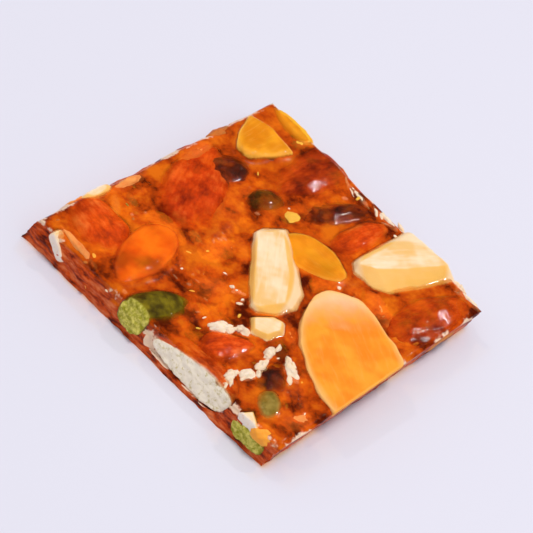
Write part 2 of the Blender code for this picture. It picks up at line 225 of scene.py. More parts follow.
nuts = (
    {"name": "sliver_middle", "form": "shard", "look": "cream", "at": (1.2, -0.6),
     "size": (15.8, 6.4, 3.2), "heading": -48, "top": 0.95,
     "peak": ((-4.5, 2.5, 0.6), (-2.9, 5.6, 0.7), (-1.4, 4.3, 0.95), (3.0, 0.7, 0.95), (5.8, -2.8, 0.8),
              (4.4, -6.0, 0.65), (3.7, -6.2, 0.65), (-0.9, -1.3, 0.75)),
     "foot": ((-4.9, 2.4), (-4.9, 4.2), (-3.0, 6.8), (-0.6, 5.6), (3.6, 2.6), (5.9, 1.0), (7.3, -1.6),
              (6.6, -4.5), (4.8, -6.6), (3.5, -6.7), (-1.4, -1.7))},
    {"name": "flake_right", "form": "flake", "look": "flake", "at": (17.2, -1.8),
     "size": (22.0, 12.6, 1.5), "heading": 154, "top": 0.65, "tilt": (3, 0), "taper": 0.0},
    {"name": "chip_middle", "form": "shard", "look": "cream", "at": (6.9, -7.0),
     "size": (5.0, 4.4, 2.4), "heading": 20, "top": 0.65,
     "peak": ((5.4, -7.6, 0.55), (6.7, -5.6, 0.65), (7.8, -5.1, 0.6), (8.6, -6.1, 0.5), (8.2, -8.0, 0.55),
              (6.6, -8.8, 0.5)),
     "foot": ((4.8, -7.6), (6.3, -4.9), (7.9, -4.4), (9.2, -5.8), (8.7, -8.5), (6.6, -9.4))},
    {"name": "wedge_back", "form": "shard", "look": "cream", "at": (9.8, 14.6),
     "size": (12.4, 9.6, 3.8), "heading": 60, "top": 1.15,
     "peak": ((6.3, 9.9, 0.95), (7.9, 11.1, 1.1), (10.2, 14.8, 1.15), (12.5, 19.6, 1.1), (12.4, 21.0, 1.1),
              (5.7, 10.6, 0.7), (5.6, 14.0, 0.55), (5.9, 19.0, 0.55), (6.2, 21.0, 0.6)),
     "foot": ((5.2, 9.8), (5.0, 14.2), (5.2, 21.2), (14.8, 21.2), (14.6, 19.4), (13.2, 15.0), (11.6, 10.6),
              (9.6, 9.3), (6.6, 8.7))},
    {"name": "flake_gold", "form": "flake", "look": "gold", "at": (-15.2, 17.6),
     "size": (15.4, 9.4, 1.4), "heading": -92, "top": 0.6, "tilt": (3, 2), "glaze": 0.06,
     "cuts": ((174, -1.2, 0), (-166, -1.0, 0))},
    {"name": "chip_corner", "form": "shard", "look": "cream", "at": (16.2, -18.9),
     "size": (3.6, 2.8, 1.8), "heading": -20, "top": 0.35,
     "peak": ((15.0, -19.4, 0.25), (15.8, -17.9, 0.35), (17.3, -18.8, 0.3), (17.2, -20.4, 0.2),
              (15.2, -20.4, 0.2)),
     "foot": ((14.4, -19.8), (15.6, -17.4), (17.9, -18.7), (17.8, -20.6), (14.8, -20.6))},
    {"name": "flake_front", "form": "flake", "look": "glow", "at": (-9.4, -12.1),
     "size": (12.0, 6.8, 1.4), "heading": -76, "top": 0.2, "tilt": (0, 4), "glaze": 0.45},
    {"name": "pistachio_front", "form": "pistachio", "look": "green", "at": (-2.8, -16.6),
     "size": (9.4, 5.2, 4.6), "heading": 68, "top": 0.7, "tilt": (-3, 0),
     "faces": ((202, 2.2, 18),)},
    {"name": "almond_cut_front", "form": "almond", "look": "skinCut", "at": (6.5, -18.4),
     "size": (13.4, 6.6, 4.2), "heading": 181, "top": 0.3, "tilt": (-1, 0), "thin": 0.5,
     "faces": ((91, 0.0, 15),)},
    {"name": "flake_middle", "form": "flake", "look": "gold", "at": (2.3, 6.2),
     "size": (9.6, 6.2, 1.4), "heading": 12, "top": 0.3, "tilt": (0, 3), "glaze": 0.12},
    {"name": "raisin_left", "form": "raisin", "look": "raisin", "at": (-14.2, 7.2),
     "size": (5.8, 4.6, 3.0), "heading": 55, "top": 0.2, "glaze": 0.2},
    {"name": "pistachio_left", "form": "pistachio", "look": "greenDeep", "at": (-7.9, 7.5),
     "size": (5.0, 3.8, 2.8), "heading": 60, "top": 0.2, "glaze": 0.3},
    {"name": "almond_left", "form": "almond", "look": "skin", "at": (-14.4, 1.7),
     "size": (15.5, 9.8, 3.6), "heading": 118, "top": 0.2, "glaze": 0.15},
    {"name": "almond_back", "form": "almond", "look": "skinDark", "at": (-7.9, 16.4),
     "size": (13.8, 8.2, 3.4), "heading": -94, "top": 0.2, "glaze": 0.2},
    {"name": "almond_edge_back", "form": "almond", "look": "gold", "at": (-15.2, 19.8),
     "size": (7.5, 3.6, 2.6), "heading": 178, "top": 0.3, "glaze": 0.15},
    {"name": "raisin_back", "form": "raisin", "look": "raisin", "at": (-1.5, 14.1),
     "size": (8.8, 4.0, 3.0), "heading": 68, "top": 0.2, "glaze": 0.25},
    {"name": "almond_middle", "form": "almond", "look": "skinBright", "at": (2.9, 14.0),
     "size": (9.6, 4.8, 3.0), "heading": 88, "top": 0.2, "glaze": 0.2},
    {"name": "almond_right", "form": "almond", "look": "skinDark", "at": (16.9, 12.2),
     "size": (13.2, 7.0, 3.2), "heading": 87, "top": 0.2, "glaze": 0.35},
    {"name": "almond_edge_left", "form": "almond", "look": "cream", "at": (-20.2, -10.2),
     "size": (5.0, 3.2, 3.0), "heading": 82, "top": 0.45},
    {"name": "almond_front_left", "form": "almond", "look": "skinBright", "at": (-16.8, -13.4),
     "size": (11.0, 7.8, 3.2), "heading": 172, "top": 0.2, "glaze": 0.15},
    {"name": "almond_front", "form": "almond", "look": "skinBright", "at": (6.4, -12.9),
     "size": (7.4, 5.0, 3.0), "heading": 60, "top": 0.3, "glaze": 0.06},
    {"name": "sliver_front", "form": "flake", "look": "cream", "at": (-16.7, -19.1),
     "size": (4.0, 3.0, 1.3), "heading": 0, "top": -1.1, "tilt": (-41, 0)},
    {"name": "pistachio_corner", "form": "pistachio", "look": "green", "at": (17.0, -18.0),
     "size": (6.4, 4.8, 3.0), "heading": 0, "top": -0.95},
    {"name": "raisin_front", "form": "raisin", "look": "raisin", "at": (13.3, -12.2),
     "size": (5.0, 3.9, 2.4), "heading": 112, "top": 0.25, "glaze": 0.06},
    {"name": "pistachio_bit", "form": "pistachio", "look": "greenPale", "at": (15.8, -15.2),
     "size": (4.6, 3.2, 2.4), "heading": -45, "top": 0.3, "glaze": 0.1},
)


def headingVector(degrees):
    return Vector((math.cos(math.radians(degrees)), math.sin(math.radians(degrees)), 0.0))


def placement(nut):  # from the nut's own frame, tip along X and thickness along Z
    pitch, roll = nut.get("tilt", (0, 0))
    middle = slabSettings["thickness"] + nut["top"] - nut["size"][2] / 2
    return (
        Matrix.Translation((*nut["at"], middle))
        @ Matrix.Rotation(math.radians(nut["heading"]), 4, "Z")
        @ Matrix.Rotation(math.radians(-pitch), 4, "Y")
        @ Matrix.Rotation(math.radians(roll), 4, "X")
    )


def cutAway(bm, point, normal):  # whether the plane met the nut
    geometry = bm.verts[:] + bm.edges[:] + bm.faces[:]
    cut = bmesh.ops.bisect_plane(
        bm, geom=geometry, dist=1e-6, plane_co=point, plane_no=normal, clear_outer=True
    )
    rim = [item for item in cut["geom_cut"] if isinstance(item, bmesh.types.BMEdge)]
    if rim:
        bmesh.ops.edgeloop_fill(bm, edges=rim)
    return bool(rim)


def cutPlanes(nut, key):
    for angle, distance, lean in nut.get(key, ()):
        across, lift = headingVector(angle), math.radians(lean)
        normal = across * math.cos(lift) + up * math.sin(lift)
        yield across * distance + up * nut["size"][2] / 2, normal


def shardCage(nut):
    back, level = placement(nut).inverted(), slabSettings["thickness"]
    foot = level + nutSettings["footLevel"] + min(0.0, nut["top"])
    base = level + nut["top"] - nut["size"][2]
    middle = Vector(nut["at"])
    points = [(x, y, level + rise) for x, y, rise in nut["peak"]]
    for spot in nut["foot"]:
        inward = middle.lerp(Vector(spot), nutSettings["keel"])
        points += [(*spot, foot), (*inward, base)]
    bm = bmesh.new()
    for point in points:
        bm.verts.new(back @ Vector(point))
    bmesh.ops.convex_hull(bm, input=bm.verts)
    bmesh.ops.delete(bm, geom=[vert for vert in bm.verts if not vert.link_faces], context="VERTS")
    return bm


def towardsTip(along):  # 0 at the blunt end and 1 at the tip, for a place from -1 to 1 along the nut
    return np.clip((along + 1) / 2, 0, 1) ** nutSettings["taperPower"]


def taperOf(nut):
    return nut.get("taper", nutForms[nut["form"]]["taper"])


def nutCage(nut):  # the nut in its own frame before any cut
    if nut["form"] == "shard":
        return shardCage(nut)
    form = nutForms[nut["form"]]
    half = [size / 2 for size in nut["size"]]
    seed = Vector((*nut["at"], 0.0))
    bm = bmesh.new()
    bmesh.ops.create_uvsphere(
        bm, u_segments=nutSettings["sides"], v_segments=nutSettings["rings"], radius=1.0
    )
    for vert in bm.verts:
        ball = vert.co.copy()
        flat = math.hypot(ball.x, ball.y)
        if flat > 1e-6:
            ball.x *= flat ** (form["box"] - 1)
            ball.y *= flat ** (form["box"] - 1)
        ball.z = math.copysign(abs(ball.z) ** form["box"], ball.z)
        tip = towardsTip(ball.x)
        ball.y *= 1 - taperOf(nut) * tip
        ball.z *= 1 - nut.get("thin", 0.0) * tip
        swell = 1 + form["wrinkle"] * noise.noise(vert.co * nutSettings["wrinkleScale"] + seed)
        vert.co = (half[0] * ball.x * swell, half[1] * ball.y * swell, half[2] * ball.z)
    return bm


def meshArrays(mesh):
    points = np.empty(len(mesh.vertices) * 3)
    mesh.vertices.foreach_get("co", points)
    normals = np.empty(len(mesh.vertices) * 3)
    mesh.vertices.foreach_get("normal", normals)
    return points.reshape(-1, 3), normals.reshape(-1, 3)


def evenMesh(bm, name):  # an even fine mesh with slightly worn edges
    bmesh.ops.recalc_face_normals(bm, faces=bm.faces)
    rough = bpy.data.meshes.new(name)
    bm.to_mesh(rough)
    bm.free()
    body = bpy.data.objects.new(name, rough)
    bpy.context.scene.collection.objects.link(body)
    remesh = body.modifiers.new("even", "REMESH")
    remesh.mode, remesh.voxel_size = "VOXEL", nutSettings["voxel"]
    smooth = body.modifiers.new("worn", "SMOOTH")
    smooth.factor, smooth.iterations = nutSettings["wear"]
    mesh = bpy.data.meshes.new_from_object(body.evaluated_get(bpy.context.evaluated_depsgraph_get()))
    bpy.data.objects.remove(body)
    return mesh


def paint(mesh, name, values):
    kind, field = ("FLOAT_VECTOR", "vector") if values.ndim == 2 else ("FLOAT", "value")
    layer = mesh.attributes.new(name, kind, "POINT")
    layer.data.foreach_set(field, values.ravel().astype(np.float32))


def nutRelief(nut, points, cut):  # how far each point stands out
    form = nutForms[nut["form"]]
    seed = nut["at"][0] + 2 * nut["at"][1]
    depth, length, stretch = form["grooves"]
    grooves = noiseOver(points, length, seed, (stretch, 1, 1))
    if form.get("folded"):
        grooves = 0.5 - 2 * abs(grooves)
    relief = depth * grooves + layered(points, form.get("fine", ()), seed)
    relief += form["lumps"] * layered(points, nutSettings["lumps"], seed)
    broken = form["fracture"] * layered(points, nutSettings["broken"], seed)
    return relief * (1 - cut) + broken * cut


def cutNut(nut, back):  # the whole nut cut by its own planes and by the slab's sides
    bm, met = nutCage(nut), []
    sides = [(back @ (point + outward * nutSettings["flush"]), back.to_3x3() @ outward)
             for point, outward in sidePlanes()]
    for point, normal in (*cutPlanes(nut, "cuts"), *cutPlanes(nut, "faces"), *sides):
        if cutAway(bm, point, normal):
            met.append((np.array(point), np.array(normal)))
    return bm, met


def paintNut(nut, mesh, points, normals, cut):
    half = np.array(nut["size"]) / 2
    along = points[:, 0] / half[0]
    across = points[:, 1] / (half[1] * (1 - taperOf(nut) * towardsTip(along)))
    slope = (nutSettings["slopeFrom"] - normals[:, 2]) / nutSettings["slopeFade"]
    paint(mesh, "cut", cut)
    paint(mesh, "slope", np.clip(slope, 0, 1))
    paint(mesh, "rim", np.hypot(along, across))
    paint(mesh, "inside", np.stack([points[:, 0], across * half[1], points[:, 2]], axis=1))


def shapeNut(nut):
    place = placement(nut)
    bm, met = cutNut(nut, place.inverted())
    mesh = evenMesh(bm, nut["name"])
    points, normals = meshArrays(mesh)
    cut = np.zeros(len(points))
    for point, normal in met:
        within = (points - point) @ normal
        cut = np.maximum(cut, np.clip(1 + within / nutSettings["cutFade"], 0, 1))
    paintNut(nut, mesh, points, normals, cut)
    moved = points + normals * nutRelief(nut, points, cut)[:, None]
    turn = np.array(place)
    moved = moved @ turn[:3, :3].T + turn[:3, 3]
    mesh.vertices.foreach_set("co", moved.ravel())
    mesh.update()
    return mesh


nutMeshes = [shapeNut(nut) for nut in nuts]
print("brittle: nuts shaped,", sum(len(mesh.polygons) for mesh in nutMeshes), "faces")


# the caramel: a poured film over the square that rounds over the nuts and climbs the bare ones

def treeOf(mesh):
    points, _ = meshArrays(mesh)
    return BVHTree.FromPolygons(points.tolist(), [tuple(face.vertices) for face in mesh.polygons])


def topOf(mesh, at):  # the height of the mesh's top over each point, or -inf beside it
    tree = treeOf(mesh)
    points, _ = meshArrays(mesh)
    low, high = points.min(axis=0), points.max(axis=0)
    found = np.full(len(at), -np.inf)
    near = (at[:, 0] > low[0]) & (at[:, 0] < high[0]) & (at[:, 1] > low[1]) & (at[:, 1] < high[1])
    for i in np.flatnonzero(near):
        hit = tree.ray_cast(Vector((*at[i], overhead)), -up)[0]
        if hit:
            found[i] = hit.z
    return found


def softened(heights, cells):  # a blur over the grid
    reach = math.ceil(cells * 3)
    weights = np.exp(-0.5 * (np.arange(-reach, reach + 1) / cells) ** 2)
    weights /= weights.sum()
    for axis in (0, 1):
        padded = np.pad(heights, [(reach, reach) if a == axis else (0, 0) for a in (0, 1)], mode="edge")
        heights = sum(
            w * np.take(padded, range(i, i + heights.shape[axis]), axis=axis) for i, w in enumerate(weights)
        )
    return heights


def nutReach(nut, at):  # seen from above, 0 at the nut's middle and 1 at its outline
    away = at - np.array(nut["at"])
    along = away @ np.array(headingVector(nut["heading"]).xy) / (nut["size"][0] / 2)
    across = away @ np.array(headingVector(nut["heading"] + 90).xy) / (nut["size"][1] / 2)
    return np.hypot(along, across)


def meniscus(at):  # how the caramel falls away from the nuts
    rise = np.zeros(len(at))
    for nut in nuts:
        outside = np.maximum(0, nutReach(nut, at) - 1) * nut["size"][1] / 2
        rise = np.maximum(rise, np.exp(-((outside / slabSettings["meniscReach"]) ** 2)))
    return slabSettings["menisc"] * (rise - 1)


def poured(at):
    flat = np.column_stack([at, np.zeros(len(at))])
    height = slabSettings["thickness"] + meniscus(at) + layered(flat, slabSettings["waves"])
    inward = np.min([(np.array((*point.xy, 0.0)) - flat) @ np.array((*outward.xy, 0.0))
                     for point, outward in sidePlanes()], axis=0)
    inward += layered(flat, slabSettings["ridgeWander"])
    shown = np.clip(layered(flat, slabSettings["ridgeBreaks"]) + 0.5, 0, 1)
    for rise, distance, width in slabSettings["ridges"]:
        height += rise * shown * np.exp(-(((inward - distance) / width) ** 2))
    return height


def underFace(nut, at, height):  # the knife took the caramel in front of a cut face
    place = placement(nut)
    for point, normal in cutPlanes(nut, "faces"):
        point, normal = place @ point, place.to_3x3() @ normal
        plane = point.z - ((at - np.array(point.xy)) @ np.array(normal.xy)) / normal.z
        sideways = Vector((-normal.y, normal.x, 0.0)).normalized()
        reach = np.abs(place.to_3x3().inverted() @ sideways) @ np.array(nut["size"]) / 2
        along = abs((at - np.array(nut["at"])) @ np.array(sideways.xy)) / reach
        under = place.translation.z - nut["size"][2] / 2 * np.sqrt(np.clip(1 - along ** 2, 0, 1))
        inFront = (plane < height) & (along < 1)
        lowered = np.maximum(plane - slabSettings["faceGap"], np.minimum(under, height))
        height = np.where(inFront, lowered, height)
    return height


def filmHeight(u, v):  # the film's height over the grid, and how deep the nuts lie under it
    at = outlinePoint(u.ravel(), v.ravel())
    base = poured(at)
    height, least, highest = base.copy(), np.full(len(at), -np.inf), np.zeros(len(at))
    for nut, mesh in zip(nuts, nutMeshes):
        top = topOf(mesh, at)
        highest = np.maximum(highest, top)
        if "glaze" in nut:
            height = np.maximum(height, top + nut["glaze"])
            least = np.maximum(least, top + nut["glaze"] * slabSettings["leastGlaze"])
        else:
            climbed = np.minimum(top - slabSettings["bareTop"], base + slabSettings["climb"])
            height = np.maximum(height, climbed)
    cell = slabSettings["span"] / slabSettings["topCells"]
    height = softened(height.reshape(u.shape), slabSettings["soften"] / cell).ravel()
    height = np.maximum(height, least)
    for nut in nuts:
        height = underFace(nut, at, height)
    return height.reshape(u.shape), np.clip(height - highest, 0, None).reshape(u.shape)


def slabGrid():  # the top from -1 to 1, with each point of the sides at its row's number
    cells = slabSettings["topCells"]
    bm = bmesh.new()
    bmesh.ops.create_grid(bm, x_segments=cells, y_segments=cells, size=1.0)
    rim = [edge for edge in bm.edges if edge.is_boundary]
    for row in range(1, slabSettings["sideRows"] + 1):
        extruded = bmesh.ops.extrude_edge_only(bm, edges=rim)["geom"]
        rim = [item for item in extruded if isinstance(item, bmesh.types.BMEdge)]
        for vert in {vert for edge in rim for vert in edge.verts}:
            vert.co.z = row
    bmesh.ops.edgeloop_fill(bm, edges=rim)
    mesh = bpy.data.meshes.new("caramel_slab")
    bm.to_mesh(mesh)
    bm.free()
    return mesh


def ragged(grid, row, solid):  # the sideways moves that tear the sides and round the top's edge
    out = np.sign(grid) * (abs(grid) > 0.9999)
    out = out / np.maximum(np.linalg.norm(out, axis=1, keepdims=True), 1)
    rough = -slabSettings["roughInset"]
    for depth, reach in slabSettings["rough"]:
        rough = rough + depth * noiseOver(solid, reach, reach * 7, slabSettings["knife"])
    return out * np.where(row > 0, rough, -slabSettings["edgeRound"] / 2)[:, None]


def shapeSlab():
    cells, rows = slabSettings["topCells"], slabSettings["sideRows"]
    steps = np.linspace(-1, 1, cells + 1)
    height, cover = filmHeight(*np.meshgrid(steps, steps, indexing="ij"))
    mesh = slabGrid()
    points, _ = meshArrays(mesh)
    grid, row = points[:, :2], points[:, 2].round()
    i, j = np.rint((grid + 1) / 2 * cells).astype(int).T
    inward = (1 - abs(grid).max(axis=1)) * slabSettings["span"] / 2  # from the nearest side
    bend = slabSettings["edgeRound"]
    roll = bend * np.clip(1 - inward / (2 * bend), 0, 1) ** 2
    z = np.where(row > 0, (height[i, j] - bend) * (1 - row / rows), height[i, j] - roll)
    solid = np.column_stack([outlinePoint(grid[:, 0], grid[:, 1]), z])
    solid[:, :2] += ragged(grid, row, solid)
    down = np.where(row > 0, slabSettings["thickness"] - z, 0)
    solid[:, :2] += np.clip(down, 0, None)[:, None] * np.array(slabSettings["lean"])
    mesh.vertices.foreach_set("co", solid.ravel())
    mesh.update()
    veil = 1 - np.exp(-cover[i, j] / slabSettings["veilDepth"])
    paint(mesh, "veil", np.where(row > 0, slabSettings["sideVeil"], veil))
    # pale patches near the cuts: sugar whitened by the knife, and a painted highlight for the glints along
    # the edges
    patches = np.clip(layered(solid, slabSettings["bloomAndGlintPatches"]) + slabSettings["bloomAndGlintMore"], 0, 1)
    near = np.where(row > 0, 1 - row / rows * slabSettings["bloomAndGlintDown"], 1 - inward / slabSettings["bloom"])
    paint(mesh, "bloom", np.clip(near, 0, 1) * patches)
    paint(mesh, "side", np.clip(row, 0, 1))
    return mesh


slabMesh = shapeSlab()
print("brittle: caramel poured,", len(slabMesh.polygons), "faces")


# chopped nut in and on the caramel

bitSettings = {
    "looks": ("cream", "gold", "orange", "skinDark", "skinBright", "green"),
    "planes": 8, "planesAway": (0.7, 1.0),  # a chip's broken faces, and how far from its middle they lie
    "sharpness": 60, "leastReach": 0.15,
    "rough": (0.2, 0.5),  # share and length of the roughness of all but the crumbs
    "marks": {"cut": 0.55, "slope": 0.3, "rim": 0.5},  # what the finish reads at every point
    "sunk": 0.2,  # how far the cream ones of the list sink in
    "clearance": 1.15,  # how far the scattered ones keep off the nuts
    "detail": 4, "seed": 11,
}

# look, place, size, heading and how far the top stands over the caramel's mean level
bits = (
    ("cream", (13.8, -9.2), (3.4, 1.9, 1.8), -22, 0.75),
    ("cream", (10.1, -9.4), (2.6, 1.3, 1.6), -65, 0.6),
    ("cream", (11.1, -11.7), (2.8, 1.3, 1.6), -80, 0.65),
    ("cream", (11.2, -14.2), (2.6, 1.8, 1.6), 70, 0.6),
    ("cream", (10.2, -16.4), (3.0, 1.2, 1.6), -62, 0.55),
    ("cream", (3.8, -11.8), (3.4, 2.2, 1.8), 50, 0.55),
    ("cream", (5.8, -9.8), (2.2, 1.5, 1.5), 25, 0.6),
    ("gold", (-4.2, 8.5), (2.8, 2.2, 1.8), 62, 0.35),
    ("cream", (0.9, -5.9), (1.4, 0.9, 1.0), 20, 0.3),
    ("orange", (18.6, -18.4), (3.4, 2.4, 2.0), 15, 0.1),
    ("orange", (-11.5, -6.4), (6.5, 3.6, 1.2), 5, -0.3),
    ("orange", (-5.6, -2.9), (5.5, 3.8, 1.4), 80, -0.4),
    ("skinBright", (-19.4, -5.4), (7.0, 1.6, 2.2), 88, 0.1),
    ("orange", (5.9, 5.2), (6.0, 3.4, 1.2), 75, -0.25),
    ("cream", (-2.4, 18.8), (4.6, 0.8, 1.2), -5, 0.35),
    ("gold", (-12.6, 18.9), (3.2, 2.0, 1.6), 80, 0.15),
    ("skinBright", (-14.9, -18.3), (7.5, 1.5, 1.8), -4, 0.3),
    ("cream", (17.2, 18.9), (4.0, 1.0, 1.6), 2, 0.35),
    ("orange", (17.6, 7.6), (5.0, 3.0, 1.4), 70, -0.25),
    ("cream", (2.6, 19.1), (4.0, 0.8, 1.2), -4, 0.4),
    ("skinBright", (-1.4, -8.2), (6.5, 4.5, 2.2), 60, -0.5),
    ("skinBright", (12.8, 7.9), (7.5, 3.2, 2.0), -20, -0.1),
    ("skinDark", (-9.6, 2.6), (7.0, 4.6, 2.4), 100, -0.1),
    ("skinDark", (9.8, -4.9), (4.5, 1.8, 2.0), -38, 0.0),
    ("skinBright", (19.2, -13.8), (5.0, 3.0, 2.0), 80, -0.2),
    ("skinDark", (-0.3, -13.2), (3.6, 2.0, 2.4), 85, -0.1),
    ("skinDark", (-19.4, 11.5), (5.5, 2.0, 2.4), 85, 0.0),
    ("skinBright", (-18.6, 5.6), (6.0, 2.6, 2.0), 95, 0.0),
    ("skinDark", (-10.6, 6.2), (4.5, 3.0, 2.4), 40, -0.2),
    ("skinDark", (-4.4, 11.6), (6.0, 3.0, 2.4), 75, -0.3),
    ("skinDark", (-3.9, -0.3), (5.0, 1.6, 2.2), 149, -0.1),
    ("skinDark", (14.8, -8.0), (5.5, 1.6, 2.2), -44, -0.1),
    ("skinDark", (10.6, -8.2), (3.6, 2.4, 2.2), 0, -0.15),
)

# smaller pieces round each cream one, as shares of its size, with their turn and tilt
splinterSettings = {
    "count": 5, "size": (0.3, 0.6), "along": 0.6, "aside": 40, "rise": (0.1, 0.5),
    "turn": 35, "tilt": 20, "detail": 3,
}

deepBitSettings = {  # scattered all through the caramel
    "count": 260, "reach": 18.5, "detail": 3, "tilt": 9,
    "chances": {"gold": 0.22, "orange": 0.24, "skinDark": 0.26, "skinBright": 0.14, "green": 0.05,
                "cream": 0.09},
    "smallest": (1.8, 1.2, 0.9), "largest": (4.6, 2.8, 1.6),
    "fromBase": 0.3, "underTop": 0.5,
}

crumbSettings = {  # scattered in its top
    "count": 380, "reach": 19.4, "detail": 2,
    "chances": {"cream": 0.36, "gold": 0.24, "orange": 0.14, "skinDark": 0.2, "green": 0.06},
    "smallest": (0.35, 0.25, 0.2), "largest": (1.1, 0.7, 0.5),
    "sunk": (0.15, 1.4),  # share of its height
}


def ballArrays(detail):
    bm = bmesh.new()
    bmesh.ops.create_icosphere(bm, subdivisions=detail, radius=1.0)
    points = np.array([vert.co for vert in bm.verts])
    faces = np.array([[vert.index for vert in face.verts] for face in bm.faces])
    bm.free()
    return points, faces


balls = {detail: ballArrays(detail) for detail in (2, 3, 4)}


def bitPoints(detail, draw):  # a chip with flat broken faces, from -1 to 1
    directions = balls[detail][0]
    normals = draw.normal(size=(bitSettings["planes"], 3))
    normals /= np.linalg.norm(normals, axis=1, keepdims=True)
    away = draw.uniform(*bitSettings["planesAway"], bitSettings["planes"])
    sharp = bitSettings["sharpness"]
    near = (np.clip(directions @ normals.T, 0, None) / away) ** sharp
    reach = np.clip(near.sum(axis=1), bitSettings["leastReach"], None) ** (-1 / sharp)
    return directions * reach[:, None]


class BitHeap:  # the bits of one look, joined into one mesh
    def __init__(self, look):
        self.look, self.points, self.faces, self.local, self.count = look, [], [], [], 0

    def add(self, middle, size, heading, tilt, detail, draw):
        shape = bitPoints(detail, draw)
        local = shape * np.array(size) / 2
        seed = float(draw.uniform(0, 90))
        if detail > crumbSettings["detail"]:
            share, length = bitSettings["rough"]
            local += shape * (noiseOver(local, length, seed) * share)[:, None]
        turn = Matrix.Rotation(math.radians(heading), 3, "Z") @ Matrix.Rotation(math.radians(tilt), 3, "Y")
        self.points.append(local @ np.array(turn).T + np.array(middle))
        self.faces.append(balls[detail][1] + self.count)
        self.local.append(local + seed)
        self.count += len(local)

    def mesh(self):
        mesh = bpy.data.meshes.new("bits_" + self.look)
        mesh.from_pydata(np.vstack(self.points).tolist(), [], np.vstack(self.faces).tolist())
        for name, value in bitSettings["marks"].items():
            paint(mesh, name, np.full(self.count, value))
        paint(mesh, "inside", np.vstack(self.local))
        return mesh


def either(draw, reach):  # a number to either side of 0
    return draw.uniform(-reach, reach)


def addSplinters(heap, middle, size, heading, draw):
    for _ in range(splinterSettings["count"]):
        part = np.array(size) * draw.uniform(*splinterSettings["size"])
        away = headingVector(heading + either(draw, splinterSettings["aside"]))
        away = away * size[0] * either(draw, splinterSettings["along"])
        rise = draw.uniform(*splinterSettings["rise"]) * (size[2] - part[2])
        turned = heading + either(draw, splinterSettings["turn"])
        tilt = either(draw, splinterSettings["tilt"])
        heap.add(middle + np.array(away) + (0, 0, rise), part, turned, tilt, splinterSettings["detail"], draw)


def surfaceAt(x, y):
    hit = slabTree.ray_cast(Vector((x, y, overhead)), -up)[0]
    return hit.z if hit else slabSettings["thickness"]


def scattered(settings, draw):  # each one's look, place and size, where no nut is in its way
    chances = settings["chances"]
    for look in draw.choice(list(chances), settings["count"], p=list(chances.values())):
        at = draw.uniform(-settings["reach"], settings["reach"], 2)
        size = draw.uniform(settings["smallest"], settings["largest"])
        if all(nutReach(nut, at) >= bitSettings["clearance"] for nut in nuts):
            yield look, at, size


def scatterBits():
    heaps = {look: BitHeap(look) for look in bitSettings["looks"]}
    draw = np.random.default_rng(bitSettings["seed"])
    for look, (x, y), size, heading, top in bits:
        if look == "cream":
            top -= bitSettings["sunk"]
        middle = np.array((x, y, slabSettings["thickness"] + top - size[2] / 2))
        heaps[look].add(middle, size, heading, 0, bitSettings["detail"], draw)
        if look == "cream":
            addSplinters(heaps[look], middle, size, heading, draw)
    for look, (x, y), size in scattered(deepBitSettings, draw):
        low = size[2] / 2 + deepBitSettings["fromBase"]
        z = draw.uniform(low, surfaceAt(x, y) - size[2] / 2 - deepBitSettings["underTop"])
        lean = np.array(slabSettings["lean"]) * (slabSettings["thickness"] - z)
        heading, tilt = draw.uniform(0, 180), either(draw, deepBitSettings["tilt"])
        heaps[look].add((x + lean[0], y + lean[1], z), size, heading, tilt, deepBitSettings["detail"], draw)
    for look, (x, y), size in scattered(crumbSettings, draw):
        z = surfaceAt(x, y) - size[2] * draw.uniform(*crumbSettings["sunk"])
        heaps[look].add((x, y, z), size, draw.uniform(0, 180), 0, crumbSettings["detail"], draw)
    return heaps


slabTree = treeOf(slabMesh)
heaps = scatterBits()
print("brittle: bits scattered,", sum(heap.count for heap in heaps.values()), "points")


# finishes

fleshSettings = {
    "clouds": 0.3, "fibres": (0.35, 2.4, 2.4), "pores": 3.2,  # grain to the mm, the fibres' along the nut
    "streak": 0.3, "slope": 0.85, "rim": 0.5, "pore": 0.5, "tip": 0.7,  # how much each one covers
    "tipFrom": 8.0, "tipAt": 15.0, "tipWander": 6,
    "roughness": 0.5, "specular": 0.2, "bump": (0.5, 0.06),
    "glow": {"Subsurface Weight": 0.15, "Subsurface Radius": (1.0, 0.6, 0.3),
             "Subsurface Scale": 0.8 * mm},
}


def fleshFinish(name, middle, edge, cut, shade, side, streak=fleshSettings["streak"], tip=None):
    finish = Finish(bpy.data.materials.new(name))
    inside = finish.painted("inside", "Vector")
    cloud = finish.grain(inside, fleshSettings["clouds"], 2.0)
    fibres = finish.grain(finish.scaled(inside, fleshSettings["fibres"]), 1.0, 4.0)
    speck = finish.grain(inside, fleshSettings["pores"], 2.0)
    body = finish.mix(finish.band(cloud, 0.35, 0.68), colour(middle), colour(shade))
    body = finish.mix(finish.band(fibres, 0.5, 0.75) * streak, body, colour(edge))
    body = finish.mix(finish.band(fibres, 0.5, 0.3) * streak, body, colour(shade))
    if tip:  # another colour towards the tip
        along = finish.node("ShaderNodeSeparateXYZ", {}, {0: inside}) + fleshSettings["tipWander"] * cloud
        near = finish.band(along, fleshSettings["tipFrom"], fleshSettings["tipAt"])
        body = finish.mix(near * fleshSettings["tip"], body, colour(tip))
    body = finish.mix(finish.painted("slope") * fleshSettings["slope"], body, colour(side))
    rim = finish.band(finish.painted("rim"), 0.84, 0.99)
    body = finish.mix(rim * fleshSettings["rim"], body, colour(edge))
    pores = finish.band(speck, 0.58, 0.72) * fleshSettings["pore"]
    body = finish.mix(finish.painted("cut"), body, finish.mix(pores, colour(cut), colour(shade)))
    normal = finish.bump(fibres + 0.5 * speck, *fleshSettings["bump"])
    return finish.close(finish.shader(
        body, fleshSettings["roughness"], fleshSettings["specular"], Normal=normal, **fleshSettings["glow"]
    ))


skinSettings = {
    "streaks": (0.4, 1.3, 1.3), "clouds": 0.4, "pits": 1.9, "pit": 0.8,
    "roughness": 0.5, "specular": 0.15, "bump": (0.6, 0.15),
}


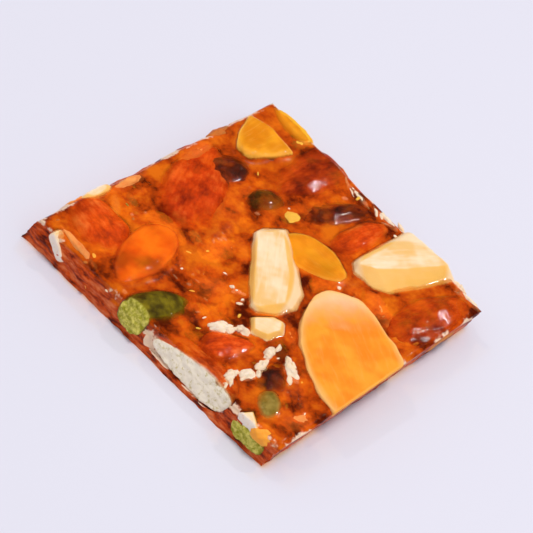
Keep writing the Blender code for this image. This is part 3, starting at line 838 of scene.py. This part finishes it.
def skinFinish(name, dark, middle, light, cut, pit=None):
    finish = Finish(bpy.data.materials.new(name))
    inside = finish.painted("inside", "Vector")
    streaks = finish.grain(finish.scaled(inside, skinSettings["streaks"]), 1.0, 6.0, 0.7)
    cloud = finish.grain(inside, skinSettings["clouds"], 4.0, 0.6)
    body = finish.ramp(0.35 * streaks + 0.65 * cloud, (0.38, 0.5, 0.63), (dark, middle, light))
    pits = finish.band(finish.grain(inside, skinSettings["pits"], 4.0, 0.7), 0.5, 0.7)
    face = finish.mix(pits * skinSettings["pit"], colour(cut), colour(pit or light))
    body = finish.mix(finish.painted("cut"), body, face)
    normal = finish.bump(streaks, *skinSettings["bump"])
    return finish.close(finish.shader(
        body, skinSettings["roughness"], skinSettings["specular"], Normal=normal
    ))


greenSettings = {
    "clouds": 0.5, "crumb": 1.7, "roughness": 0.45, "specular": 0.2, "bump": (0.8, 0.3),
}


def greenFinish(name, dark, light, cut, crumb):
    finish = Finish(bpy.data.materials.new(name))
    inside = finish.painted("inside", "Vector")
    cloud = finish.grain(inside, greenSettings["clouds"])
    fine = finish.grain(inside, greenSettings["crumb"], 5.0, 0.7)
    body = finish.mix(finish.band(cloud, 0.3, 0.7), colour(dark), colour(light))
    face = finish.mix(finish.band(fine, 0.36, 0.68), colour(cut), colour(crumb))
    body = finish.mix(finish.painted("cut"), body, face)
    normal = finish.bump(fine, *greenSettings["bump"])
    return finish.close(finish.shader(
        body, greenSettings["roughness"], greenSettings["specular"], Normal=normal
    ))


raisinSettings = {
    "dark": "#280808", "light": "#561714", "grain": 1.1,
    "roughness": 0.45, "specular": 0.2, "bump": (0.8, 0.2),
}


def raisinFinish():
    finish = Finish(bpy.data.materials.new("raisin_dark"))
    fine = finish.grain(finish.painted("inside", "Vector"), raisinSettings["grain"], 4.0)
    dark, light = colour(raisinSettings["dark"]), colour(raisinSettings["light"])
    body = finish.mix(finish.band(fine, 0.4, 0.65), dark, light)
    normal = finish.bump(fine, *raisinSettings["bump"])
    return finish.close(finish.shader(
        body, raisinSettings["roughness"], raisinSettings["specular"], Normal=normal
    ))


amberSettings = {
    "keeps": (0.97, 0.82, 0.45),  # share of red, green and blue light left after 1 mm
    "lightKeeps": (0.99, 0.93, 0.80),  # what a lamp's light keeps through the surface
    "surface": (1.0, 0.93, 0.82), "gloss": 0.06, "ior": 1.5, "bump": (0.4, 0.12),
    "veil": 0.7, "veilGloss": 0.3, "veilSpecular": 0.06,  # the most that its own colour covers
    "top": ("#5E1600", "#D85006", "#FF7C10"), "topStops": (0.4, 0.5, 0.61),  # deep, middle, cloud
    "sides": ("#581204", "#D04A0E", "#F49058"), "sideStops": (0.4, 0.5, 0.66),
    "clouds": (300.0, 6.0, 0.6),  # grain to the metre, detail and roughness
    "streaks": (900.0, 4.0), "streakShape": (0.35, 0.35, 2.5),
    "layers": (800.0, 5.0, 0.65), "layerShape": (0.5, 0.5, 1.6),
    # the pale patches' colour: whitened sugar, and a painted highlight for the glints along the edges
    "bloom": "#FBD8B8", "bloomAndGlintCover": 0.75,
}


def amberFinish():
    finish = Finish(bpy.data.materials.new("amber_caramel"))
    place = finish.node("ShaderNodeTexCoord", out="Object")  # in metres
    cloud = finish.grain(place, *amberSettings["clouds"])
    streaks = finish.grain(finish.scaled(place, amberSettings["streakShape"]), *amberSettings["streaks"])
    layers = finish.grain(finish.scaled(place, amberSettings["layerShape"]), *amberSettings["layers"])
    body = finish.ramp(0.7 * cloud + 0.3 * streaks, amberSettings["topStops"], amberSettings["top"])
    side = finish.ramp(0.35 * cloud + 0.65 * layers, amberSettings["sideStops"], amberSettings["sides"])
    body = finish.mix(finish.painted("side"), body, side)
    # paints the pale patches into the colour and the veil: whitened sugar, and a painted highlight along the
    # edges
    bloom = finish.band(finish.painted("bloom") + 0.8 * finish.grain(place, 2600.0), 0.75, 1.15)
    body = finish.mix(bloom, body, colour(amberSettings["bloom"]))
    bumps = 0.5 * finish.grain(place, 2300.0) + finish.grain(place, 800.0, 2.0)
    normal = finish.bump(bumps, *amberSettings["bump"])
    sugar = finish.node("ShaderNodeBsdfPrincipled", {}, {
        "Base Color": (*amberSettings["surface"], 1.0), "Roughness": amberSettings["gloss"],
        "IOR": amberSettings["ior"], "Transmission Weight": 1.0, "Normal": normal})
    haze = finish.shader(body, amberSettings["veilGloss"], amberSettings["veilSpecular"], Normal=normal)
    veil = amberSettings["veil"] * finish.painted("veil")
    veil = 1 - (1 - veil) * (1 - amberSettings["bloomAndGlintCover"] * bloom)
    mixed = finish.node("ShaderNodeMixShader", {}, {0: veil, 1: sugar, 2: haze})
    passing = finish.node("ShaderNodeBsdfTransparent", {}, {"Color": (*amberSettings["lightKeeps"], 1.0)})
    shadow = finish.node("ShaderNodeLightPath", out="Is Shadow Ray")
    surface = finish.node("ShaderNodeMixShader", {}, {0: shadow, 1: mixed, 2: passing})
    loss = [-math.log(keep) / mm for keep in amberSettings["keeps"]]
    tint = [1 - share / max(loss) for share in loss]
    depth = finish.node("ShaderNodeVolumeAbsorption", {}, {"Color": (*tint, 1.0), "Density": max(loss)})
    return finish.close(surface, Volume=depth)


looks = {
    "cream": fleshFinish("almond_cream", middle="#F8DDB4", edge="#FFECD0", cut="#FCEBDC",
                         shade="#F2C076", side="#F6BA58"),
    "orange": fleshFinish("almond_orange", middle="#FFAA2A", edge="#FFC868", cut="#FFB444",
                          shade="#FF8A16", side="#FFA83C"),
    "flake": fleshFinish("almond_flake", middle="#FFA028", edge="#FFCA7C", cut="#FFAE3C",
                         shade="#FF8814", side="#FFB45C", streak=0.12, tip="#FFDCB4"),
    "glow": fleshFinish("almond_glow", middle="#FF9C26", edge="#D8580A", cut="#F88A20",
                        shade="#F27412", side="#E0620C"),
    "gold": fleshFinish("almond_gold", middle="#F8B824", edge="#FFD060", cut="#FFC858",
                        shade="#E69C10", side="#EEA61C"),
    "skin": skinFinish("almond_skin", dark="#942402", middle="#D84604", light="#F2762A", cut="#F4A850"),
    "skinBright": skinFinish("almond_skin_bright", dark="#A83004", middle="#E4560A", light="#FA8C3E",
                             cut="#FAB060"),
    "skinDark": skinFinish("almond_skin_dark", dark="#5C1200", middle="#A83202", light="#DC5814",
                           cut="#DC8C3C"),
    "skinCut": skinFinish("almond_skin_cut", dark="#8A2802", middle="#C84A08", light="#F09048",
                          cut="#FFF2DA", pit="#D2C07E"),
    "green": greenFinish("pistachio_green", dark="#443602", light="#8A7806", cut="#A09A14", crumb="#EEE070"),
    "greenPale": greenFinish("pistachio_pale", dark="#7A7428", light="#B8AC62", cut="#A8A44C",
                             crumb="#E0D8A0"),
    "greenDeep": greenFinish("pistachio_deep", dark="#2A2402", light="#5C5208", cut="#5C6010",
                             crumb="#8C8430"),
    "raisin": raisinFinish(),
}
amber = amberFinish()
print("brittle: finishes made")


# the pieces

slots = {
    "almond_flesh": ("cream", "orange", "flake", "glow", "gold", "skinCut"),
    "almond_skin": ("skin", "skinBright", "skinDark"),
    "pistachio": ("green", "greenPale", "greenDeep"),
    "raisin": ("raisin",),
}
slotOf = {look: slot for slot, group in slots.items() for look in group}
toRow = Matrix.Scale(mm, 4) @ Matrix.Translation((*centre(), 0.0))


def addPiece(name, mesh, material, slot, node=None):
    mesh.transform(toRow)
    mesh.materials.clear()
    mesh.materials.append(material)
    mesh.shade_smooth()
    piece = bpy.data.objects.new(name, mesh)
    bpy.context.scene.collection.objects.link(piece)
    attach(piece, "root")
    if node:
        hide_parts(node)


for nut, mesh in zip(nuts, nutMeshes):
    addPiece("candied_" + nut["name"], mesh, looks[nut["look"]], slotOf[nut["look"]], nut["name"])
for look, heap in heaps.items():
    addPiece("bits_" + look, heap.mesh(), looks[look], slotOf[look])
addPiece("caramel_slab", slabMesh, amber, "caramel", "caramel")
print("brittle: pieces placed")


# floor, light and camera

# lights come from so far along the camera's own right, up and backward directions
lightSettings = {
    "key": {"from": (0.45, 0.5, 0.75), "power": 1.7, "size": 0.16, "glints": False},
    "spark": {"from": (0.6, 0.74, 0.26), "power": 0.3, "size": 0.035, "glints": True},
    "glint": {"from": (-0.2, 0.85, 0.3), "power": 0.22, "size": 0.03, "glints": True},
}

stageSettings = {
    "floor": "#DEDDE8", "floorSize": 0.6, "lightDistance": 0.6,
    "sky": "#F4F2F6", "skyStrength": 0.62, "skyGloss": 0.05,  # glossy rays see it darker
}

cameraSettings = {
    "right": (0.67577736, 0.68805306, 0.26440111),
    "up": (-0.65183974, 0.3903673, 0.65016792),
    "back": (0.34413648, -0.61171591, 0.71230171),
    "distance": 607.4, "lens": 338.0, "sensor": 36.0,
    "clip": (0.05, 5.0),  # in metres
}
cameraAxes = [Vector(cameraSettings[key]) for key in ("right", "up", "back")]


def addCamera():
    data = bpy.data.cameras.new("camera")
    data.lens, data.sensor_width = cameraSettings["lens"], cameraSettings["sensor"]
    data.clip_start, data.clip_end = cameraSettings["clip"]
    camera = bpy.data.objects.new("camera", data)
    bpy.context.scene.collection.objects.link(camera)
    target = Vector((*centre(), slabSettings["thickness"]))
    place = (target + cameraAxes[2] * cameraSettings["distance"]) * mm
    camera.matrix_world = Matrix.Translation(place) @ Matrix(cameraAxes).transposed().to_4x4()
    bpy.context.scene.camera = camera


def addSky():
    sky = Finish(bpy.data.worlds.new("studio"))
    bright, dim = stageSettings["skyStrength"], stageSettings["skyGloss"]
    strength = bright + (dim - bright) * sky.node("ShaderNodeLightPath", out="Is Glossy Ray")
    shade = colour(stageSettings["sky"])
    background = sky.node("ShaderNodeBackground", {}, {"Color": shade, "Strength": strength})
    sky.node("ShaderNodeOutputWorld", {}, {"Surface": background})
    bpy.context.scene.world = sky.owner


def addLight(name, settings):
    toLight = sum((axis * part for axis, part in zip(cameraAxes, settings["from"])), Vector((0, 0, 0)))
    toLight.normalize()
    data = bpy.data.lights.new(name, "AREA")
    data.energy, data.shape, data.size = settings["power"], "DISK", settings["size"]
    light = bpy.data.objects.new(name, data)
    bpy.context.scene.collection.objects.link(light)
    light.location = toLight * stageSettings["lightDistance"]
    light.rotation_mode = "QUATERNION"
    light.rotation_quaternion = toLight.to_track_quat("Z", "Y")
    light.visible_glossy = settings["glints"]


def addFloor():
    bm = bmesh.new()
    bmesh.ops.create_grid(bm, x_segments=1, y_segments=1, size=stageSettings["floorSize"])
    mesh = bpy.data.meshes.new("floor")
    bm.to_mesh(mesh)
    bm.free()
    finish = Finish(bpy.data.materials.new("pale_floor"))
    surface = finish.shader(colour(stageSettings["floor"]), roughness=0.7, specular=0.2)
    mesh.materials.append(finish.close(surface))
    floor = bpy.data.objects.new("floor", mesh)
    bpy.context.scene.collection.objects.link(floor)


addCamera()
addSky()
for name, settings in lightSettings.items():
    addLight(name, settings)
addFloor()
bpy.context.scene.view_settings.view_transform = "Standard"
print("brittle: stage set")
